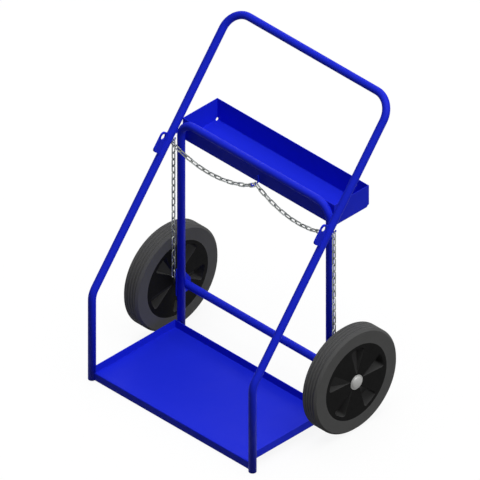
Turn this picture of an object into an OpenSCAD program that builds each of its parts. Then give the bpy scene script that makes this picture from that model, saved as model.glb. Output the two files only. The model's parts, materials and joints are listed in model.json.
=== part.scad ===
// Hand cart for two gas cylinders side by side: a bent-tube handle frame, a rear frame, a rimmed deck,
// two cushion-tyred wheels, a tool tray and two safety chains.
// Millimetres, +Z up, +X to the right, the front faces -Y. The origin is on the floor, midway between
// the front legs and the handle. The left side mirrors the right side.

/* [Tube] */
// Outside diameter of the frame tube
tube_od = 25.4; // [22:0.1:28]
// Wall thickness of the frame tube
tube_wall = 2.1; // [1.2:0.1:4]

/* [Handle frame] */
// Distance between the centre lines of the two front legs
leg_spacing = 688.7; // [660:0.1:720]
// Distance from the front legs back to the handle, centre to centre
handle_reach = 604.8; // [560:0.1:650]
// Height of the handle's centre line
handle_z = 1076; // [1030:1:1120]
// Height where the leg's and the arm's centre lines cross
arm_start_z = 313; // [290:1:340]
// Centre line radius of the bend between leg and arm
lower_bend_r = 63.5; // [50:0.5:80]
// Centre line radius of the bend between arm and handle
upper_bend_r = 70; // [55:1:90]

/* [Rear frame] */
// Distance from the front legs back to the rear posts, centre to centre
post_setback = 357.4; // [345:0.1:370]
// Height of the rear crossbar's centre line
rear_bar_z = 793.4; // [780:0.1:805]
// Centre line radius of the rear frame's two bends
rear_bend_r = 56; // [45:1:65]

/* [Deck] */
// Height of the deck's top face
deck_z = 28; // [24:1:40]
// Height of the rims above the deck's top face
rim_h = 26; // [15:1:40]
// Sheet thickness of the deck
deck_sheet = 2.7; // [1.5:0.1:4]
// Outside radius of the deck's folds
deck_fold_r = 3.5; // [3:0.1:8]
// How far the front lip stands ahead of the front legs' centre line
lip_ahead = 1.5; // [0:0.1:2]
// Gap between the front lip's lower edge and the floor
lip_ground_gap = 1; // [0.5:0.5:15]

/* [Tool tray] */
// Width of the tool tray
tray_w = 650.6; // [600:0.1:660]
// Depth of the tool tray
tray_d = 148.9; // [120:0.1:180]
// Height of the tool tray's walls
tray_h = 79.6; // [50:0.1:85]
// Sheet thickness of the tool tray
tray_sheet = 2; // [1:0.1:3]
// Outside radius of the tool tray's folds
tray_fold_r = 5; // [4:0.5:8]
// Radius of the relief at each lower corner
tray_relief_r = 9.5; // [6:0.5:14]

/* [Wheels] */
// Outside diameter of the tyre
wheel_d = 355.6; // [340:0.1:356.6]
// Diameter where the tyre sits on the wheel centre
seat_d = 259.6; // [240:0.1:270]
// Width of the wheel
wheel_w = 59.8; // [56:0.1:60]
// Distance from the middle of the cart to the wheel's inner face
wheel_inner_x = 353.2; // [353:0.1:360]
// Radius of the tyre's shoulders
shoulder_r = 7; // [4:0.5:12]
// Number of grooves round the tread
groove_count = 4; // [2:1:4]
// Distance from the wheel's outer face to the first groove
groove_inset = 15; // [13:0.5:18]
// Distance from one groove to the next
groove_step = 10.8; // [9:0.1:12]
// Depth of a groove
groove_depth = 1.8; // [0.5:0.1:3]
// Number of pockets on each face of the wheel centre
pocket_count = 5; // [3:1:5]
// Depth of a pocket at its outer end
pocket_depth = 40; // [20:1:45]
// Distance from the axle to a pocket's outer end
pocket_outer_r = 117; // [105:0.5:119]
// Angle from the middle of a pocket to its side at the outer end
pocket_half_angle = 14; // [10:0.5:14]
// Diameter of the boss on the wheel's inner face
boss_d = 42; // [36:1:42]
// Length of the boss
boss_length = 11.2; // [9:0.1:13]
// Outside diameter of the bush in the wheel
bush_d = 22; // [18:0.5:26]

/* [Axle] */
// Distance from the front legs back to the axle
axle_setback = 376.6; // [374:0.1:379]
// Diameter of the axle
axle_d = 12.7; // [10:0.1:12.8]
// Thickness of the plates that carry the axle
bracket_t = 4; // [3:0.5:5]
// Outside diameter of the spacers between the plates and the wheels
spacer_d = 30; // [24:1:40]
// Outside diameter of the outer washers
washer_d = 34; // [26:1:44]
// Thickness of the outer washers
washer_t = 1.5; // [1:0.1:2]
// Diameter of the axle caps
cap_d = 50; // [46:1:60]
// Height of an axle cap's straight side
cap_side_h = 4.1; // [4:0.1:6]
// Height of an axle cap's dome
cap_dome_h = 7; // [6.5:0.5:10]
// Sheet thickness of the axle caps
cap_sheet = 1.5; // [1:0.1:2]
// Depth to which the axle stands in a cap
cap_socket = 6.8; // [5:0.1:7]

/* [Lugs and hooks] */
// Thickness of the lug plates on the arms
lug_t = 6; // [4:0.5:8]
// Diameter of the eye in each lug
lug_eye_d = 20; // [12:0.5:22]
// Diameter of the rod that the hooks are bent from
hook_d = 4.8; // [4:0.1:5]
// Height of the side hooks' rod where the chain hangs
side_hook_z = 711; // [711:0.1:712]
// Distance from the front legs back to the sagging stretch's first link on a side hook
swag_setback = 340.2; // [340:0.1:340.6]
// Height of the centre hook's rod where the chains hang
centre_hook_z = 716.5; // [710:0.5:722]

/* [Chains] */
// Diameter of the chain's wire
wire_d = 4.4; // [4:0.1:4.6]
// Outside width of a link
link_w = 15.4; // [15:0.1:15.8]
// Inside length of a link
link_inside = 24.6; // [24.3:0.1:24.6]
// Number of links in each of the two lengths of a hanging tail
tail_links = 10; // [4:2:10]
// Number of links in the sagging stretch of a chain
swag_links = 15; // [15:1:18]
// Distance from the front legs back to the hanging tails
tail_setback = 349.6; // [348:0.1:350]

/* [Hidden] */
$fn = 64;

blue_paint = [0.12, 0.16, 0.72];
black_plastic = [0.1, 0.1, 0.1];
grey_rubber = [0.28, 0.28, 0.28];
bare_steel = [0.62, 0.63, 0.62];
bronze = [0.6, 0.45, 0.25];

// Reach of a cut past the face that it opens
cut = 1;
// Gap left between parts that move on each other
run_gap = 0.3;
// Clearance round the axle
fit_gap = 0.05;
// Play of a wheel along the axle
side_play = 0.4;
// How much thicker a bend's wall is on each side, and how far a straight run reaches into it
bend_swell = 0.05;
lap = 0.3;

tube_r = tube_od / 2;
leg_x = leg_spacing / 2;
front_y = -handle_reach / 2;
lean = atan(handle_reach / (handle_z - arm_start_z));
arm_length = norm([handle_reach, handle_z - arm_start_z]);
lower_tangent = lower_bend_r * tan(lean / 2);

// The posts stand inside the legs, so that a wheel bracket lies in line with the legs' inner faces
post_x = leg_x - tube_od;
post_y = front_y + post_setback;
side_x = leg_x - tube_r;

deck_under_z = deck_z - deck_sheet;
deck_front_y = front_y - lip_ahead + deck_fold_r;
deck_rear_y = post_y - tube_r;

tray_y = post_y + tube_r + tray_d / 2;
tray_z = rear_bar_z - tray_h;

axle_y = front_y + axle_setback;
axle_z = wheel_d / 2;
axle_r = axle_d / 2;
bracket_outer_x = side_x + bracket_t;
bush_r = bush_d / 2;
wheel_outer_x = wheel_inner_x + wheel_w;
cap_x = wheel_outer_x + side_play;
// Size of the ridge that keeps the tyre on the wheel centre
ridge_h = 6;
ridge_w = 12;

wire_r = wire_d / 2;
hook_r = hook_d / 2;
// Half the width of a link along its wire's centre line
link_r = (link_w - wire_d) / 2;
// Length of a link between the centres of its end wires
link_c = link_inside + wire_d;
// Distance from one link to the next, which leaves a gap so that they don't touch
link_step = link_inside - run_gap;
// How far a link's end wire lies beyond the point where it meets the next link
link_reach = (link_c - link_step) / 2;
// How far a link's end wire lies beyond the next link's wire, or beyond a hook's rod
on_wire = wire_d + run_gap;
on_hook = hook_r + wire_r + run_gap;

tail_y = front_y + tail_setback;
hung_top_z = side_hook_z + on_hook;
hung_bottom_z = hung_top_z - link_c;
tail_top_z = hung_bottom_z + on_wire;
tail_length = (tail_links - 1) * link_step + link_c;
tail_hinge_z = tail_top_z - tail_length;

// One place for everything that stands on both sides of the cart
module both_sides() for (m = [0, 1]) mirror([m, 0, 0]) children();

module on_left() mirror([1, 0, 0]) children();

// Lays a drawing in a plane that faces sideways: its X runs back, its Y up and its thickness outwards
module facing_side() rotate([90, 0, 90]) children();

// Lays a drawing in a plane that faces the front: its Y runs up and its thickness forwards
module facing_front() rotate([90, 0, 0]) children();

module ring(r_out, r_in)
    difference() {
        circle(r_out);
        circle(r_in);
    }

module tube(length) linear_extrude(length) ring(tube_r, tube_r - tube_wall);

// Bend in the XY plane about the origin, from +X round towards +Y. Its wall is a hair thicker than a
// straight run's, and each run reaches a little way into it, so that the two make one tube.
module tube_bend(bend_r, angle)
    rotate_extrude(angle = angle) translate([bend_r, 0])
        ring(tube_r + bend_swell, tube_r - tube_wall - bend_swell);

module rod(length) cylinder(r = hook_r, h = length);

module rod_bend(bend_r, angle) rotate_extrude(angle = angle) translate([bend_r, 0]) circle(hook_r);

function unit(v) = v / norm(v);

// Convex outline with a round corner of its own radius at each point
module rounded_polygon(points, radii) {
    n = len(points);
    // Unit vectors from each corner to its neighbours
    back = [for (i = [0:n - 1]) unit(points[(i + n - 1) % n] - points[i])];
    ahead = [for (i = [0:n - 1]) unit(points[(i + 1) % n] - points[i])];
    half = [for (i = [0:n - 1]) acos(back[i] * ahead[i]) / 2];
    polygon([for (i = [0:n - 1]) each [
        points[i] + back[i] * radii[i] / tan(half[i]),
        points[i] + ahead[i] * radii[i] / tan(half[i])
    ]]);
    for (i = [0:n - 1])
        translate(points[i] + unit(back[i] + ahead[i]) * radii[i] / sin(half[i])) circle(radii[i]);
}

// Moves to the foot of the arm by turning about the lower bend's centre. +Z then runs up along the
// arm and -Y stands square out of its front.
module along_arm()
    translate([0, front_y + lower_bend_r, arm_start_z - lower_tangent]) rotate([-lean, 0, 0])
        translate([0, -lower_bend_r, -lower_tangent]) children();

// Solid as thick as the arm, for fitting things to its surface
module arm_solid() along_arm() translate([leg_x, 0, 0]) cylinder(r = tube_r, h = arm_length);

module handle_frame()
    color(blue_paint) {
        both_sides() {
            translate([leg_x, front_y, 0]) tube(arm_start_z - lower_tangent + lap);
            translate([leg_x, front_y + lower_bend_r, arm_start_z - lower_tangent])
                mirror([0, 1, 0]) facing_side() tube_bend(lower_bend_r, lean);
            along_arm() translate([leg_x, 0, lower_tangent - lap])
                tube(arm_length - upper_bend_r - lower_tangent + 2 * lap);
            along_arm() translate([leg_x - upper_bend_r, 0, arm_length - upper_bend_r])
                facing_front() tube_bend(upper_bend_r, 90);
        }
        along_arm() translate([upper_bend_r - leg_x - lap, 0, arm_length])
            rotate([0, 90, 0]) tube(2 * (leg_x - upper_bend_r + lap));
    }

module rear_frame()
    color(blue_paint) {
        both_sides() {
            translate([post_x, post_y, deck_under_z]) tube(rear_bar_z - rear_bend_r - deck_under_z + lap);
            translate([post_x - rear_bend_r, post_y, rear_bar_z - rear_bend_r])
                facing_front() tube_bend(rear_bend_r, 90);
        }
        translate([rear_bend_r - post_x - lap, post_y, rear_bar_z])
            rotate([0, 90, 0]) tube(2 * (post_x - rear_bend_r + lap));
    }

// Section of a folded pan, standing on the X axis, with both lower corners round
module pan_section(w, h, r) {
    translate([-w / 2, r]) square([w, h - r]);
    translate([r - w / 2, 0]) square([w - 2 * r, h]);
    for (side = [-1, 1]) translate([side * (w / 2 - r), r]) circle(r);
}

// Block with its four lower edges round
module pan_block(w, d, h, r)
    intersection() {
        translate([0, d / 2, 0]) facing_front() linear_extrude(d) pan_section(w, h, r);
        translate([-w / 2, 0, 0]) facing_side() linear_extrude(w) pan_section(d, h, r);
    }

// Open pan folded from sheet
module pan(w, d, h, r, sheet)
    difference() {
        pan_block(w, d, h, r);
        translate([0, 0, sheet]) pan_block(w - 2 * sheet, d - 2 * sheet, h, r - sheet);
    }

module base_tray() {
    depth = deck_rear_y - deck_front_y;
    // The pan is drawn twice as deep and its front half cut off, so that the deck is open at the front
    color(blue_paint) difference() {
        translate([0, deck_front_y, deck_under_z])
            pan(2 * side_x, 2 * depth, deck_sheet + rim_h, deck_fold_r, deck_sheet);
        translate([-leg_x, deck_front_y - 2 * depth, 0]) cube([2 * leg_x, 2 * depth, handle_z]);
    }
    // The lip is folded down at the front, between the legs
    color(blue_paint) translate([-side_x, deck_front_y, deck_z - deck_fold_r])
        facing_side() linear_extrude(2 * side_x) {
            intersection() {
                ring(deck_fold_r, deck_fold_r - deck_sheet);
                translate([-deck_fold_r, 0]) square(deck_fold_r);
            }
            translate([-deck_fold_r, lip_ground_gap - deck_z + deck_fold_r])
                square([deck_sheet, deck_z - deck_fold_r - lip_ground_gap]);
        }
}

module tool_tray()
    color(blue_paint) translate([0, tray_y, tray_z]) difference() {
        pan(tray_w, tray_d, tray_h, tray_fold_r, tray_sheet);
        for (side = [-1, 1])
            both_sides() translate([tray_w / 2 - tray_fold_r, side * tray_d / 2, 0])
                rotate([0, 90, 0]) cylinder(r = tray_relief_r, h = tray_fold_r + cut);
    }

// Moves to a place on the axle, with +Z outwards, +X back and +Y up
module on_axle(x) translate([x, axle_y, axle_z]) facing_side() children();

module axle_tube() {
    // The tube is notched to fit behind the posts
    cope_gap = 0.1;
    color(blue_paint) difference() {
        on_axle(-side_x) tube(2 * side_x);
        both_sides() translate([post_x, post_y, 0]) cylinder(r = tube_r + cope_gap, h = 2 * axle_z);
    }
}

module axle_shaft()
    color(bare_steel) on_axle(-cap_x - cap_socket) cylinder(r = axle_r, h = 2 * (cap_x + cap_socket));

// Plate on the post's outer side, drawn about the axle
module axle_bracket() {
    ahead_of_post = 7.4;
    plate_front = post_setback - axle_setback - ahead_of_post;
    plate_rear = 34.4;
    plate_bottom = -43;
    plate_top = 58;
    // Corners of the sloping rear edge, from the bottom up
    slope = [[plate_rear, -0.6], [27.5, 9], [-6.6, 56]];
    // From the lower front corner, round by the rear
    corner_radii = [6, 6, 14, 12, 6, 3];
    bottom_edge = [[plate_front, plate_bottom], [plate_rear, plate_bottom]];
    color(blue_paint) on_axle(side_x) difference() {
        linear_extrude(bracket_t)
            rounded_polygon(concat(bottom_edge, slope, [[plate_front, plate_top]]), corner_radii);
        translate([0, 0, -cut]) cylinder(r = axle_r + fit_gap, h = bracket_t + 2 * cut);
    }
}

module inner_spacer()
    color(bare_steel) on_axle(bracket_outer_x)
        linear_extrude(wheel_inner_x - boss_length - bracket_outer_x - side_play)
            ring(spacer_d / 2, axle_r + fit_gap);

// Section of the ridge that keeps the tyre on the wheel centre
module seat_ridge() translate([seat_d / 2 - ridge_h, (wheel_w - ridge_w) / 2]) square([ridge_h, ridge_w]);

module tyre() {
    tyre_r = wheel_d / 2;
    seat_r = seat_d / 2;
    // The grooves are counted inwards from the one nearest the outer face
    first_groove = wheel_w - groove_inset;
    groove_half_w = 1.2;
    color(grey_rubber) on_axle(wheel_inner_x) rotate_extrude($fn = 128) difference() {
        union() {
            translate([seat_r, 0]) square([tyre_r - shoulder_r - seat_r, wheel_w]);
            translate([seat_r, shoulder_r]) square([tyre_r - seat_r, wheel_w - 2 * shoulder_r]);
            for (z = [shoulder_r, wheel_w - shoulder_r])
                translate([tyre_r - shoulder_r, z]) circle(shoulder_r);
            seat_ridge();
        }
        for (i = [0:groove_count - 1])
            translate([tyre_r, first_groove - i * groove_step])
                polygon([[-groove_depth, 0], [cut, -2 * groove_half_w], [cut, 2 * groove_half_w]]);
    }
}

// Outline of a pocket that points along +X, with the axle at the origin
module pocket_outline() {
    apex_r = 31;
    apex_half_w = 2.5;
    corner_r = 8;
    // The round outer corners touch the outer arc from inside
    corner_c = pocket_outer_r - corner_r;
    corner_angle = pocket_half_angle - asin(corner_r / corner_c);
    corner = corner_c * [cos(corner_angle), sin(corner_angle)];
    beyond = 1.1;
    far = beyond * pocket_outer_r * [cos(corner_angle), sin(corner_angle)];
    side_line = unit(corner + [0, corner_r] - [apex_r, apex_half_w]);
    side_point = corner + corner_r * [-side_line.y, side_line.x];
    apex = [apex_r, apex_half_w];
    flip = [[1, 0], [0, -1]];
    polygon([apex, side_point, corner, flip * corner, flip * side_point, flip * apex]);
    for (point = [corner, flip * corner]) translate(point) circle(corner_r);
    intersection() {
        circle(pocket_outer_r);
        polygon([corner, far, flip * far, flip * corner]);
    }
    translate([apex_r, 0]) circle(apex_half_w);
}

// Pocket that opens upwards at the XY plane, with a floor that falls away outwards
module pocket() {
    floor_start = 29;
    fall = atan(pocket_depth / (pocket_outer_r - floor_start));
    intersection() {
        translate([0, 0, -pocket_depth]) linear_extrude(pocket_depth + cut) pocket_outline();
        translate([floor_start, -pocket_outer_r, 0]) rotate([0, fall, 0])
            translate([-cut, 0, 0]) cube([2 * pocket_outer_r, 2 * pocket_outer_r, pocket_outer_r]);
    }
}

module wheel_centre() {
    pocket_step = 360 / pocket_count;
    // The pockets of the two faces lie side by side and not back to back, with a rib between them
    rib_half_angle = 0.5;
    pocket_turn = pocket_half_angle + rib_half_angle;
    color(black_plastic) on_axle(wheel_inner_x) difference() {
        rotate_extrude($fn = 128) difference() {
            translate([bush_r, 0]) square([seat_d / 2 - bush_r, wheel_w]);
            seat_ridge();
        }
        for (i = [0:pocket_count - 1]) {
            rotate([0, 0, i * pocket_step + pocket_turn]) translate([0, 0, wheel_w]) pocket();
            rotate([0, 0, i * pocket_step - pocket_turn]) mirror([0, 0, 1]) pocket();
        }
    }
}

// Boss that keeps the wheel clear of the chain. Its rim stays just below the path of a swinging tail.
module wheel_boss()
    color(black_plastic) on_axle(wheel_inner_x - boss_length)
        linear_extrude(boss_length) ring(boss_d / 2, bush_r);

module hub_bush()
    color(bronze) on_axle(wheel_inner_x - boss_length) linear_extrude(wheel_w + boss_length)
        ring(bush_r, axle_r + fit_gap);

module outer_washer()
    color(bare_steel) on_axle(wheel_outer_x + run_gap)
        linear_extrude(washer_t) ring(washer_d / 2, axle_r + fit_gap);

// Solid with a straight side and a shallow dome, standing on the XY plane
module cap_form(r, side_h, dome_h) {
    sphere_r = (r * r + dome_h * dome_h) / (2 * dome_h);
    cylinder(r = r, h = side_h);
    translate([0, 0, side_h]) intersection() {
        cylinder(r = r, h = dome_h);
        translate([0, 0, dome_h - sphere_r]) sphere(sphere_r, $fn = 128);
    }
}

// Pressed cap with a collar inside that grips the end of the axle
module axle_cap() {
    collar_z = run_gap + washer_t;
    collar_wall = 3;
    collar_h = cap_side_h + 3;
    color(bare_steel) on_axle(cap_x) difference() {
        union() {
            difference() {
                cap_form(cap_d / 2, cap_side_h, cap_dome_h);
                translate([0, 0, -cut]) cap_form(
                    cap_d / 2 - cap_sheet, cap_side_h + cut - cap_sheet / 2, cap_dome_h - cap_sheet / 2
                );
            }
            translate([0, 0, collar_z]) cylinder(r = axle_r + collar_wall, h = collar_h);
        }
        translate([0, 0, -cut]) cylinder(r = axle_r + fit_gap / 2, h = cap_socket + cut);
    }
}

// Plate with an eye on the upper front of the arm
module chain_lug() {
    lug_bottom = 476;
    lug_top = 545;
    lug_out = 45;
    eye_place = [-31.2, 529];
    // The plate is drawn from inside the tube, whose surface cuts it
    inside = 8;
    // From the lower corner inside the tube, round by the top
    corner_radii = [1, 1, 14, 10];
    color(blue_paint) difference() {
        along_arm() translate([leg_x - lug_t / 2, 0, 0]) facing_side() linear_extrude(lug_t)
            rounded_polygon(
                [[-inside, lug_bottom], [-inside, lug_top], [-lug_out, lug_top], [-lug_out, lug_bottom]],
                corner_radii
            );
        arm_solid();
        along_arm() translate([leg_x - lug_t / 2 - cut, eye_place.x, eye_place.y])
            rotate([0, 90, 0]) cylinder(d = lug_eye_d, h = lug_t + 2 * cut);
    }
}

// Rod that leaves the arm's underside, runs back and turns up at its tip
module side_hook() {
    bend_r = 3.5;
    tip_y = tail_y + 7.2;
    root_y = tail_y - 26;
    tip_h = 2.5;
    color(blue_paint) difference() {
        union() {
            translate([leg_x, root_y, side_hook_z]) rotate([-90, 0, 0]) rod(tip_y - bend_r - root_y);
            translate([leg_x, tip_y - bend_r, side_hook_z + bend_r])
                mirror([0, 0, 1]) facing_side() rod_bend(bend_r, 90);
            translate([leg_x, tip_y, side_hook_z + bend_r]) rod(tip_h);
        }
        arm_solid();
    }
}

// Where the two chains lie on the centre hook, the right one behind the left one
centre_hook_y = post_y + tube_r - hook_r;
hook_bend_r = 5;
stem_to_chain = 9.2;
chain_to_chain = 8;
right_end_y = centre_hook_y - stem_to_chain;
left_end_y = right_end_y - chain_to_chain;

// Rod down the tool tray's front wall that runs forwards and turns up at its tip
module centre_hook() {
    stem_top_z = 743;
    tip_y = left_end_y - 11;
    tip_h = 5;
    color(blue_paint) {
        translate([0, centre_hook_y, centre_hook_z + hook_bend_r])
            rod(stem_top_z - centre_hook_z - hook_bend_r);
        translate([0, centre_hook_y - hook_bend_r, centre_hook_z + hook_bend_r])
            mirror([0, 0, 1]) facing_side() rod_bend(hook_bend_r, 90);
        translate([0, tip_y + hook_bend_r, centre_hook_z])
            rotate([-90, 0, 0]) rod(centre_hook_y - tip_y - 2 * hook_bend_r);
        translate([0, tip_y + hook_bend_r, centre_hook_z + hook_bend_r])
            rotate([0, 0, 180]) mirror([0, 0, 1]) facing_side() rod_bend(hook_bend_r, 90);
        translate([0, tip_y, centre_hook_z + hook_bend_r]) rod(tip_h);
    }
}

// Chain link that lies flat in the XY plane, long along X
module chain_link() {
    straight = link_c - 2 * link_r;
    for (end = [0, 180])
        rotate([0, 0, end]) {
            translate([straight / 2, 0, 0]) rotate([0, 0, -90])
                rotate_extrude(angle = 180, $fn = 24) translate([link_r, 0]) circle(wire_r);
            translate([-straight / 2, link_r, 0])
                rotate([0, 90, 0]) cylinder(r = wire_r, h = straight, $fn = 24);
        }
}

// Link between two points of the chain's line, turned about that line by roll
module link_between(a, b, roll) {
    run = b - a;
    climb = asin(run.z / norm(run));
    turn = atan2(run.y, run.x);
    translate((a + b) / 2) rotate([0, -climb, turn]) rotate([roll, 0, 0]) chain_link();
}

// Link on the side hook, which holds the tail
module hung_link()
    color(bare_steel)
        link_between([leg_x, tail_y, hung_top_z], [leg_x, tail_y, hung_bottom_z], 90);

// Links straight down from an end wire at top_z, the first one edge on to the front
module hanging_links(top_z)
    color(bare_steel) for (i = [0:tail_links - 1]) {
        start = [leg_x, tail_y, top_z - link_reach - i * link_step];
        link_between(start, start - [0, 0, link_step], 90 * i);
    }

module chain_tail_upper() hanging_links(tail_top_z);

module chain_tail_lower() hanging_links(tail_hinge_z + on_wire);

// Direction of a link that runs inwards, turned forwards by turn and upwards by climb
function link_heading(turn, climb) = [-cos(climb) * cos(turn), -cos(climb) * sin(turn), sin(climb)];

// The first link lies on the side hook ahead of the tail and passes the post on its front side. It
// stands a little askew on the hook's rod and has more play there than the other links.
first_turn = 10;
first_climb = -12;
first_play = 0.5;
first_dir = link_heading(first_turn, first_climb);
first_on_rod = [leg_x, front_y + swag_setback, side_hook_z];
first_start = first_on_rod - (on_hook + first_play - link_reach) * first_dir;
first_end_wire = first_start + (link_step + link_reach) * first_dir;
// Distance between the end wires of the first two links, which meet at an angle
first_join = 5.3;

// The last link lies on the centre hook
last_climb = 31;
last_dir = link_heading(0, last_climb);
function last_end(end_y) = [0, end_y, centre_hook_z] + (on_hook - link_reach) * last_dir;
function sag_end(end_y) = last_end(end_y) - link_step * last_dir;

// The free stretch sags between the first and the last link
sag_climb = -21;
function sag_start(end_y) =
    let (run = sag_end(end_y) - first_end_wire, turn = -atan2(run.y, -run.x))
    first_end_wire + (link_reach - first_join) * link_heading(turn, sag_climb);

function sag_point(end_y, sag, t) =
    sag_start(end_y) * (1 - t) + sag_end(end_y) * t - [0, 0, 4 * sag * t * (1 - t)];

// Bounds of the sag, the longest share of the curve that a link takes, and the number of halvings that
// find each of the two
least_sag = 5;
most_sag = 150;
most_share = 0.2;
sag_tries = 20;
share_tries = 24;

// Place on the curve that is one link further than t, found by halving the stretch that holds it
function next_t(end_y, sag, t, low, high, tries) =
    let (middle = (low + high) / 2)
    tries == 0 ? middle
    : norm(sag_point(end_y, sag, middle) - sag_point(end_y, sag, t)) < link_step
        ? next_t(end_y, sag, t, middle, high, tries - 1)
        : next_t(end_y, sag, t, low, middle, tries - 1);

// Places of the links' ends on the curve, counted from its start
function link_ts(end_y, sag, count, t = 0) =
    count == 0 ? [t]
    : concat([t], link_ts(end_y, sag, count - 1, next_t(end_y, sag, t, t, t + most_share, share_tries)));

// Depth of the sag at which the links just reach the curve's end
function fitting_sag(end_y, low, high, tries) =
    let (middle = (low + high) / 2, ts = link_ts(end_y, middle, swag_links - 2))
    tries == 0 ? middle
    : ts[swag_links - 2] > 1
        ? fitting_sag(end_y, middle, high, tries - 1)
        : fitting_sag(end_y, low, middle, tries - 1);

// Points where the links of a sagging stretch meet each other
function swag_points(end_y) =
    let (sag = fitting_sag(end_y, least_sag, most_sag, sag_tries))
    [for (t = link_ts(end_y, sag, swag_links - 2)) sag_point(end_y, sag, t)];

// The end links stand upright on the hooks, and each link between them is turned by the same angle
// from the one before
swag_twist = 180 * floor((swag_links - 1) / 2) / (swag_links - 1);

module chain_swag(end_y) {
    points = swag_points(end_y);
    color(bare_steel) {
        link_between(first_start, first_start + link_step * first_dir, 90);
        for (i = [0:swag_links - 3]) link_between(points[i], points[i + 1], 90 + (i + 1) * swag_twist);
        link_between(sag_end(end_y), last_end(end_y), 90);
    }
}

handle_frame();
rear_frame();
base_tray();
tool_tray();
axle_tube();
axle_shaft();
on_left() axle_bracket();  // axle_bracket_left
axle_bracket();  // axle_bracket_right
on_left() chain_lug();  // chain_lug_left
chain_lug();  // chain_lug_right
on_left() side_hook();  // side_hook_left
side_hook();  // side_hook_right
centre_hook();
on_left() wheel_centre();  // wheel_centre_left
wheel_centre();  // wheel_centre_right
on_left() tyre();  // tyre_left
tyre();  // tyre_right
on_left() wheel_boss();  // wheel_boss_left
wheel_boss();  // wheel_boss_right
on_left() hub_bush();  // hub_bush_left
hub_bush();  // hub_bush_right
on_left() inner_spacer();  // inner_spacer_left
inner_spacer();  // inner_spacer_right
on_left() outer_washer();  // outer_washer_left
outer_washer();  // outer_washer_right
on_left() axle_cap();  // axle_cap_left
axle_cap();  // axle_cap_right
on_left() hung_link();  // hung_link_left
hung_link();  // hung_link_right
on_left() chain_swag(left_end_y);  // chain_swag_left
chain_swag(right_end_y);  // chain_swag_right
on_left() chain_tail_upper();  // chain_tail_upper_left
chain_tail_upper();  // chain_tail_upper_right
on_left() chain_tail_lower();  // chain_tail_lower_left
chain_tail_lower();  // chain_tail_lower_right
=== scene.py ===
"""Looks of the hand cart for two gas cylinders.

Sizes are in millimetres and are written as the cart stands: X to the right, Y to the rear and Z up
from the floor. The origin is midway between the wheels and midway between the front legs and the
handle. Meshes are in metres.
"""
import json
import logging
import math
from dataclasses import dataclass
from enum import Enum

import bmesh
import bpy
from bpy.types import ID, Material, Mesh, Node, NodeSocket, NodeTree, Object
from mathutils import Euler, Matrix, Vector


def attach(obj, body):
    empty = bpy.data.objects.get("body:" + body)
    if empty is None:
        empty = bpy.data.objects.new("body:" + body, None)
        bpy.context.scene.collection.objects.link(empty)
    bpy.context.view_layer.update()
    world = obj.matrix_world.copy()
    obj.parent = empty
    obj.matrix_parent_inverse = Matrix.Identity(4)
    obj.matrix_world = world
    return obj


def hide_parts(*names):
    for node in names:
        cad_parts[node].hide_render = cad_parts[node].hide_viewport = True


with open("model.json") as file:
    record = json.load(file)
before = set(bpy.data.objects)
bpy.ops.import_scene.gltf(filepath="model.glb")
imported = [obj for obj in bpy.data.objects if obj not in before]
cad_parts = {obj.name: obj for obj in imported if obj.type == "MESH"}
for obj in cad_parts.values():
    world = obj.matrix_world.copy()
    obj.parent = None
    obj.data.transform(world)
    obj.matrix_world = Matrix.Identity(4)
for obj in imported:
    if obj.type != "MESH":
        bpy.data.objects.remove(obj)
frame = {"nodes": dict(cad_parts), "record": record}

LOG = logging.getLogger("cart")

MM = 0.001
SEED = 7
# Distance in metres up to which points are one
MERGE_M = 1e-6
# Angles in degrees: the least of an edge that stays sharp, and a quarter turn
SHARP = 40.0
QUARTER = 90.0

# Attributes of the chains' points and links
TURN = "turn"
LINK_TONE = "link_tone"

Point = tuple[float, float, float]
Range = tuple[float, float]
Path = list[Vector]
Link = tuple[Vector, Matrix]

# Range that noise mostly stays in
NOISE_SPAN: Range = (0.3, 0.7)


class Slot(Enum):
    """Finishes of the cart's parts."""

    BLUE_PAINT = "blue_paint"
    CHAIN_STEEL = "chain_steel"
    CAP_STEEL = "cap_steel"
    AXLE_STEEL = "axle_steel"
    BUSH_BRONZE = "bush_bronze"
    WHEEL_PLASTIC = "wheel_plastic"
    TYRE_RUBBER = "tyre_rubber"


class Side(Enum):
    """Left and right half of the cart, with the sign of X there."""

    LEFT = -1
    RIGHT = 1

    @property
    def word(self) -> str:
        """Name of the side as it stands in the names of parts."""
        return self.name.lower()

    def place(self, x: float, y: float, z: float) -> Vector:
        """Point in millimetres on this side, from its distance to the middle plane."""
        return Vector((self.value * x, y, z))


# Nodes and materials


class Nodes:
    """A node tree under construction, with short calls for its nodes."""

    def __init__(self, tree: NodeTree) -> None:
        """Takes up a tree."""
        self.tree = tree

    def add(self, kind: str, settings: dict[str, object] | None = None, **inputs: object) -> Node:
        """Adds a node.

        Args:
            kind: The node's type.
            settings: The node's own options.
            **inputs: Sockets or values by input name, with spaces as underscores.

        Returns:
            The new node.
        """
        node = self.tree.nodes.new(kind)
        for key, value in (settings or {}).items():
            setattr(node, key, value)
        for key, value in inputs.items():
            self.feed(node.inputs[key.replace("_", " ")], value)
        return node

    def feed(self, socket: NodeSocket, value: object) -> None:
        """Links a socket to another one, or gives it a value.

        Args:
            socket: The socket to feed.
            value: Socket or value.
        """
        if isinstance(value, NodeSocket):
            self.tree.links.new(value, socket)
        else:
            socket.default_value = value

    def combine(self, kind: str, *values: object, **settings: object) -> NodeSocket:
        """Adds a node whose inputs are told by their order.

        Args:
            kind: The node's type.
            *values: Sockets or values, in the order of the inputs.
            **settings: The node's own options.

        Returns:
            The node's first output.
        """
        node = self.add(kind, settings)
        for socket, value in zip(node.inputs, values):
            self.feed(socket, value)
        return node.outputs[0]

    def math(self, operation: str, *values: object) -> NodeSocket:
        """Result of a calculation with sockets or values."""
        return self.combine("ShaderNodeMath", *values, operation=operation)


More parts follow.
